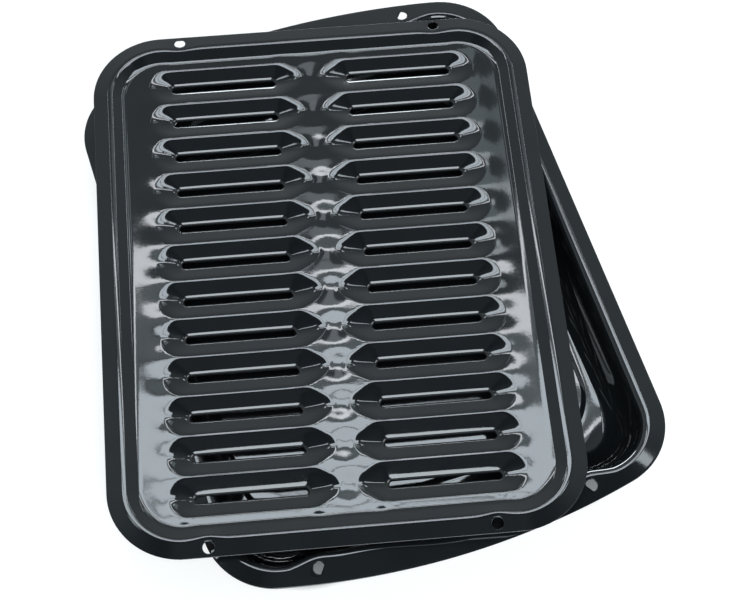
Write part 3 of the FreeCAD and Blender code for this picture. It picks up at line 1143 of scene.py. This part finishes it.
@dataclass(frozen=True)
class Enamel:
    """Glossy black porcelain enamel, fused to the steel in a slightly rippled coat."""

    name: str = "black_enamel"
    dark: tuple[float, float, float] = (0.0065, 0.0075, 0.0085)
    light: tuple[float, float, float] = (0.011, 0.0125, 0.014)
    cloud_scale: float = 26.0
    ripple_scale: float = 150.0
    grain_scale: float = 900.0
    cloud_detail: float = 3.0
    fine_detail: float = 2.0
    ripple_height: float = 0.000012
    grain_share: float = 0.3
    roughness: float = 0.04
    roughness_spread: float = 0.03
    ior: float = 1.7

    def material(self) -> bpy.types.Material:
        """Make the material.

        Returns:
            The material.
        """
        material = bpy.data.materials.new(self.name)
        net = Network.of(material)
        place = net.node("ShaderNodeTexCoord").outputs["Object"]

        def noise(scale: float, detail: float) -> Value:
            """Clouded values between 0 and 1."""
            inputs = {"Vector": place, "Scale": scale, "Detail": detail}
            return Value(net, net.node("ShaderNodeTexNoise", inputs).outputs["Fac"])

        cloud = noise(self.cloud_scale, self.cloud_detail)
        grain = noise(self.grain_scale, self.fine_detail)
        ripple = noise(self.ripple_scale, self.fine_detail)
        tones = {0: cloud, 6: (*self.dark, 1.0), 7: (*self.light, 1.0)}
        colour = net.node("ShaderNodeMix", tones, data_type="RGBA")
        height = ripple + grain * self.grain_share
        coat = {"Height": height, "Distance": self.ripple_height, "Strength": 1.0}
        bump = net.node("ShaderNodeBump", coat)
        look = {
            "Base Color": colour.outputs[2],
            "Roughness": cloud * self.roughness_spread + self.roughness,
            "IOR": self.ior,
            "Normal": bump.outputs["Normal"],
        }
        surface = net.node("ShaderNodeBsdfPrincipled", look)
        net.node("ShaderNodeOutputMaterial", {"Surface": surface.outputs[0]})
        return material


@dataclass(frozen=True)
class Floor:
    """Plain pale floor that keeps the object's shadow, with painted shade under the pan where its glow is
    left out.
    """

    colour: tuple[float, float, float] = (0.5, 0.5, 0.5)
    glow: float = 0.68
    half: float = 6.0
    # Painted shade: a rounded zone in the pan's outline, under the pan, where the floor's glow is left out.
    painted_shade_middle: tuple[float, float] = (0.0236, -0.0066)
    painted_shade_half: tuple[float, float] = (0.148, 0.197)
    painted_shade_corner: float = 0.06
    painted_shade_edge: float = 0.006

    def glow_share(self, net: Network) -> Value:
        """Leave the glow out under the pan, which paints shade there in the pan's outline.

        Args:
            net: Nodes of the floor's material.

        Returns:
            The share of the glow at each place.
        """
        place = net.node("ShaderNodeTexCoord").outputs["Object"]
        axes = net.node("ShaderNodeSeparateXYZ", {"Vector": place}).outputs
        beyond = []
        for name, middle, half in zip("XY", self.painted_shade_middle, self.painted_shade_half):
            aside = Value(net, axes[name]) - middle
            aside = aside.combined("ABSOLUTE", aside, 0.0) - (half - self.painted_shade_corner)
            beyond.append(aside.combined("MAXIMUM", aside, 0.0))
        square = beyond[0] * beyond[0] + beyond[1] * beyond[1]
        far = (square.combined("SQRT", square, 0.0) - self.painted_shade_corner) * (1 / self.painted_shade_edge)
        return far.combined("MINIMUM", far.combined("MAXIMUM", far, 0.0), 1.0)

    def build(self) -> bpy.types.Object:
        """Make the floor and mark it as stage.

        Returns:
            The floor.
        """
        mesh = bpy.data.meshes.new("floor")
        corners = [(x * self.half, y * self.half, 0.0) for x, y in ((-1, -1), (1, -1), (1, 1), (-1, 1))]
        mesh.from_pydata(corners, [], [(0, 1, 2, 3)])
        material = bpy.data.materials.new("pale_floor")
        net = Network.of(material)
        seen = net.node("ShaderNodeLightPath").outputs
        rays = [Value(net, seen[name]) for name in ("Is Camera Ray", "Is Glossy Ray", "Is Transmission Ray")]
        # The glow is left out under the pan, which paints shade on the floor there.
        direct = (rays[0] + rays[1] + rays[2]) * self.glow_share(net)
        matt = net.node("ShaderNodeBsdfDiffuse", {"Color": (*self.colour, 1.0)})
        shine = net.node("ShaderNodeEmission", {"Strength": direct * self.glow})
        both = net.node("ShaderNodeAddShader", {0: matt.outputs[0], 1: shine.outputs[0]})
        net.node("ShaderNodeOutputMaterial", {"Surface": both.outputs[0]})
        mesh.materials.append(material)
        floor = in_scene("floor", mesh)
        return floor


@dataclass(frozen=True)
class Lamp:
    """A soft box over the grill, which points at the grill's middle."""

    name: str
    place: tuple[float, float, float]
    size: tuple[float, float]
    radiance: float
    turn: float = 0.0
    colour: tuple[float, float, float] = (0.9, 1.0, 1.05)

    def build(self, seat: Matrix) -> bpy.types.Object:
        """Hang the lamp.

        Args:
            seat: Placement of the grill, which the lamp's place is measured from.

        Returns:
            The lamp.
        """
        data = bpy.data.lights.new(self.name, "AREA")
        data.shape = "RECTANGLE"
        data.size, data.size_y = self.size
        data.energy = self.radiance * math.pi * self.size[0] * self.size[1]
        data.color = self.colour
        lamp = in_scene(self.name, data)
        back = Vector(self.place).normalized()
        along = Vector((math.cos(math.radians(self.turn)), math.sin(math.radians(self.turn)), 0))
        across = (along - back * along.dot(back)).normalized()
        facing = Matrix((across, back.cross(across), back)).transposed()
        lamp.matrix_world = seat @ Matrix.Translation(self.place) @ facing.to_4x4()
        lamp.visible_camera = False
        return lamp


@dataclass
class Studio:
    """Soft light over the grill, the world behind it and the camera."""

    seat: Matrix
    camera_place: tuple[float, float, float] = (-0.0414, -0.6996, 1.2454)
    camera_turn: tuple[float, float, float] = (28.4980, -0.4261, -5.2979)
    focal_pixels: float = 2027.19
    image_width: float = 750.0
    sensor: float = 36.0
    lamps: tuple[Lamp, ...] = (
        Lamp("strip", (0.10, 1.342, 2.5), (1.7, 0.100), 7.4, -13.7, (0.97, 1.0, 1.05)),
        Lamp("veil", (0.06, 1.21, 2.5), (1.7, 0.12), 0.8, -11.4, (0.85, 1.0, 1.05)),
        Lamp("soft_box", (0.02, 1.01, 2.5), (1.6, 0.205), 5.9, -9.0, (0.88, 0.98, 1.06)),
        Lamp("second_box", (0.0, 0.735, 2.5), (1.6, 0.26), 5.9, -9.0, (0.88, 0.98, 1.06)),
        Lamp("corner_lamp", (0.57, 1.54, 2.5), (0.24, 0.10), 3.3),
        Lamp("corner_glow", (0.66, 1.80, 2.5), (0.40, 0.36), 0.9, 0.0, (0.85, 1.0, 1.05)),
        Lamp("front_fill", (0.1, -1.6, 1.9), (0.9, 1.7), 6.4, 0.0, (0.92, 1.0, 1.05)),
        Lamp("right_fill", (2.0, -0.9, 1.1), (1.6, 0.8), 3.4, 60.0, (1.0, 1.0, 1.0)),
        Lamp("back_glow", (0.0, 3.6, 0.43), (3.0, 0.74), 14.0, 0.0, (0.92, 1.0, 1.05)),
        Lamp("spine_glow", (0.09, 1.52, 2.5), (0.17, 0.46), 1.3, -11.0, (0.9, 1.0, 1.06)),
        Lamp("left_bar", (-1.02, 0.40, 2.5), (0.30, 0.25), 4.5),
        Lamp("right_bar", (1.12, 0.40, 2.5), (0.30, 0.25), 4.5),
        Lamp("left_line", (-0.92, 1.75, 2.5), (0.06, 0.6), 7.0),
        Lamp("right_line", (1.15, 1.75, 2.5), (0.06, 0.6), 7.0),
    )
    sky_pole: tuple[float, float] = (-0.1045, 0.9945)
    sky: tuple[tuple[float, tuple[float, float, float]], ...] = (
        (0.0, (0.56, 0.58, 0.59)),
        (0.27, (0.43, 0.475, 0.49)),
        (0.49, (0.36, 0.405, 0.425)),
        (0.80, (0.24, 0.285, 0.305)),
        (0.92, (0.06, 0.075, 0.085)),
        (0.945, (0.03, 0.037, 0.043)),
        (0.976, (0.012, 0.014, 0.016)),
        (0.988, (0.07, 0.09, 0.10)),
    )

    def world(self) -> None:
        """Light the surroundings brightest near the horizon and darkest overhead."""
        world = bpy.data.worlds.new("studio")
        net = Network.of(world)
        place = net.node("ShaderNodeTexCoord").outputs["Generated"]
        axes = net.node("ShaderNodeSeparateXYZ", {"Vector": place}).outputs
        height = Value(net, axes["Y"]) * self.sky_pole[0] + Value(net, axes["Z"]) * self.sky_pole[1]
        ramp = net.node("ShaderNodeValToRGB", {"Fac": height})
        stops = ramp.color_ramp.elements
        while len(stops) < len(self.sky):
            stops.new(0.5)
        for stop, (position, colour) in zip(stops, self.sky):
            stop.position = position
            stop.color = (*colour, 1.0)
        glow = net.node("ShaderNodeBackground", {"Color": ramp.outputs["Color"], "Strength": 1.0})
        net.node("ShaderNodeOutputWorld", {"Surface": glow.outputs[0]})
        bpy.context.scene.world = world

    def camera(self) -> None:
        """Set the camera where the photograph was taken from."""
        data = bpy.data.cameras.new("camera")
        data.sensor_width = self.sensor
        data.lens = self.sensor * self.focal_pixels / self.image_width
        camera = in_scene("camera", data)
        turned = Euler([math.radians(angle) for angle in self.camera_turn], "XYZ").to_matrix().to_4x4()
        camera.matrix_world = self.seat @ Matrix.Translation(self.camera_place) @ turned
        bpy.context.scene.camera = camera

    def build(self) -> None:
        """Make the studio."""
        self.world()
        self.camera()
        for lamp in self.lamps:
            lamp.build(self.seat)
            log.info("lamp %s", lamp.name)
        view = bpy.context.scene.view_settings
        view.view_transform = "Standard"


@dataclass(frozen=True)
class GrillSeat:
    """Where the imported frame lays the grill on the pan."""

    node: str = "slotted_grill"
    turn: float = -12.6
    reach: float = 0.1

    def matrix(self, grill: SlottedGrill) -> Matrix:
        """Read the grill's placement from its node.

        Args:
            grill: The grill, for the line and height of its crest.

        Returns:
            The placement of the grill's own middle, in metres.
        """
        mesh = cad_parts[self.node].data
        points = np.zeros(len(mesh.vertices) * 3)
        mesh.vertices.foreach_get("co", points)
        points = points.reshape(-1, 3) / METRE
        middle = (points.min(axis=0) + points.max(axis=0))[:2] / 2
        cos, sin = math.cos(math.radians(self.turn)), math.sin(math.radians(self.turn))
        local = (points[:, :2] - middle) @ ((cos, -sin), (sin, cos))
        chosen = points[np.abs(grill.crest.beyond(local)) < self.reach]
        slope_x, slope_y, height = nearest_plane(chosen)
        above = chosen[:, 2] - chosen[:, :2] @ (slope_x, slope_y) > height
        slope_x, slope_y, height = nearest_plane(chosen[above])
        normal = Vector((-slope_x, -slope_y, 1)).normalized()
        tilt = UP.rotation_difference(normal)
        turn = Quaternion(UP, math.radians(self.turn))
        base = height + slope_x * middle[0] + slope_y * middle[1] - grill.crest_height / normal.z
        place = Vector((middle[0], middle[1], base)) * METRE
        log.info("grill lies at %s with slopes %.5f and %.5f", tuple(place), slope_x, slope_y)
        return Matrix.Translation(place) @ (tilt @ turn).to_matrix().to_4x4()


def finished(name: str, meshes: Sequence[bpy.types.Mesh], finish: bpy.types.Material) -> bpy.types.Object:
    """Join meshes into one closed, smooth piece.

    Args:
        name: Name of the piece.
        meshes: Its parts, already in place.
        finish: Its material.

    Returns:
        The piece.
    """
    joined = bmesh.new()
    for mesh in meshes:
        joined.from_mesh(mesh)
    bmesh.ops.remove_doubles(joined, verts=joined.verts, dist=WELD)
    bmesh.ops.recalc_face_normals(joined, faces=joined.faces)
    open_edges = sum(1 for edge in joined.edges if len(edge.link_faces) != 2)
    for face in joined.faces:
        face.smooth = True
        face.material_index = 0
    for edge in joined.edges:
        edge.smooth = edge.calc_face_angle(0.0) < SHARP_ANGLE
    mesh = bpy.data.meshes.new(name)
    joined.to_mesh(mesh)
    triangles = sum(len(face.verts) - 2 for face in joined.faces)
    joined.free()
    mesh.materials.clear()
    mesh.materials.append(finish)
    log.info("%s: %d triangles, %d open edges", name, triangles, open_edges)
    return in_scene(name, mesh)


def main() -> None:
    """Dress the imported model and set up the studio."""
    logging.basicConfig(level=logging.INFO, format="%(name)s: %(message)s")
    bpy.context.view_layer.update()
    finish = Enamel().material()

    pan = DripPan()
    low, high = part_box("drip_pan")
    middle = Matrix.Translation(((low[0] + high[0]) / 2, (low[1] + high[1]) / 2, 0))
    pan_piece = finished("drip_pan_shell", [pan.shell().mesh("pan", middle)], finish)

    grill = SlottedGrill()
    seat = GrillSeat().matrix(grill)
    rows = HollowRows(grill.rows, grill.patch.pitch * METRE, finish)
    hollows = rows.repeated(grill.patch.shell().mesh("patch"))
    hollows.transform(seat)
    grill_piece = finished("slotted_grill_shell", [hollows, grill.shell().mesh("rim", seat)], finish)

    for piece, node in ((pan_piece, "drip_pan"), (grill_piece, "slotted_grill")):
        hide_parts(node)
        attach(piece, Body.ROOT.value)

    Floor().build()
    Studio(seat).build()


if __name__ == "__main__":
    main()
